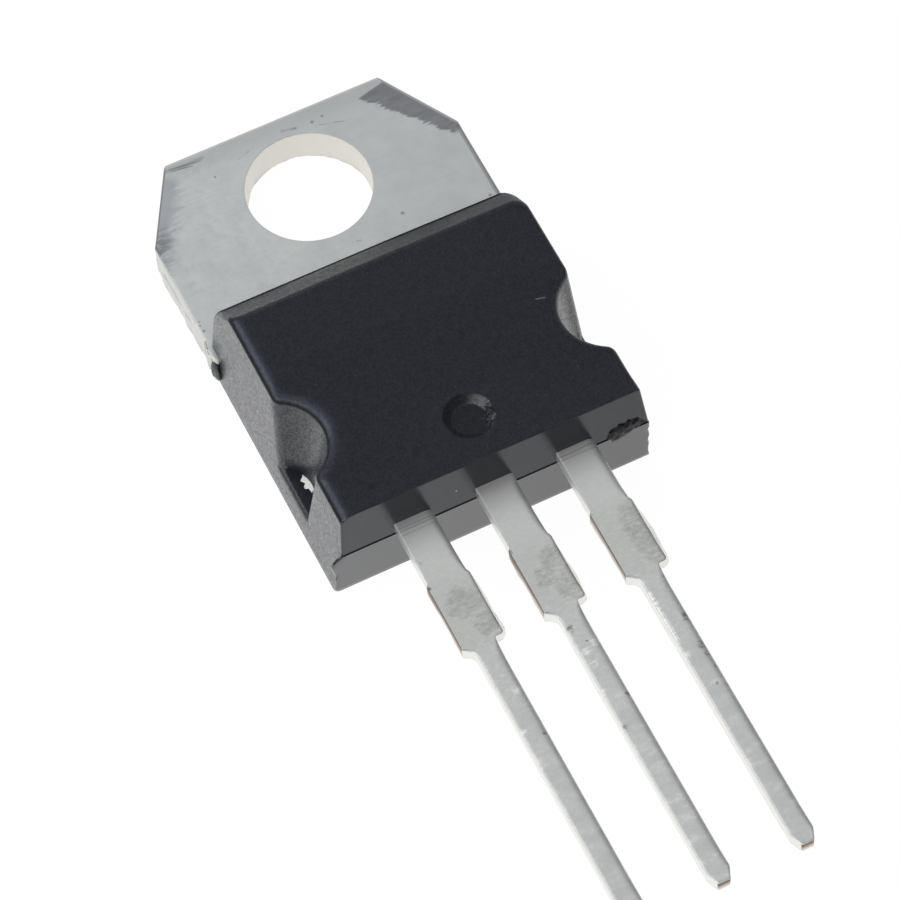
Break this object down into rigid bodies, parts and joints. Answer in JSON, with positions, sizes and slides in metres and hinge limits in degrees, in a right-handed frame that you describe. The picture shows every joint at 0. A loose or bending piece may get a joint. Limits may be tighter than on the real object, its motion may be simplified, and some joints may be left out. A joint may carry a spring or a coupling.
{
  "type": "voltage regulator",
  "caption": "Moulded voltage regulator with a drilled metal cooling tab and flat stamped leads for through-hole soldering.",
  "frame": {"origin": "centre of the mounting hole, on the back face that seats on a heat sink", "axes": "+Z out of the front of the body, along the mounting hole; +Y to the top edge of the tab, with the leads along -Y; +X across, to the output lead's side"},
  "size_m": [0.01, 0.029, 0.0043],
  "materials": {
    "tinned_copper": "dull tin plating over copper",
    "epoxy": "fine matte moulding compound, smooth on the lead side",
    "silicon": "polished silicon",
    "solder": "dull solder",
    "bond_wire": "drawn aluminium wire"
  },
  "bodies": {
    "root": {"heat_sink": "tinned_copper", "input_lead": "tinned_copper", "output_lead": "tinned_copper", "mould_body": "epoxy", "silicon_die": "silicon", "die_solder": "solder", "input_wire": "bond_wire", "output_wire": "bond_wire", "ground_wire": "bond_wire"}
  },
  "joints": []
}
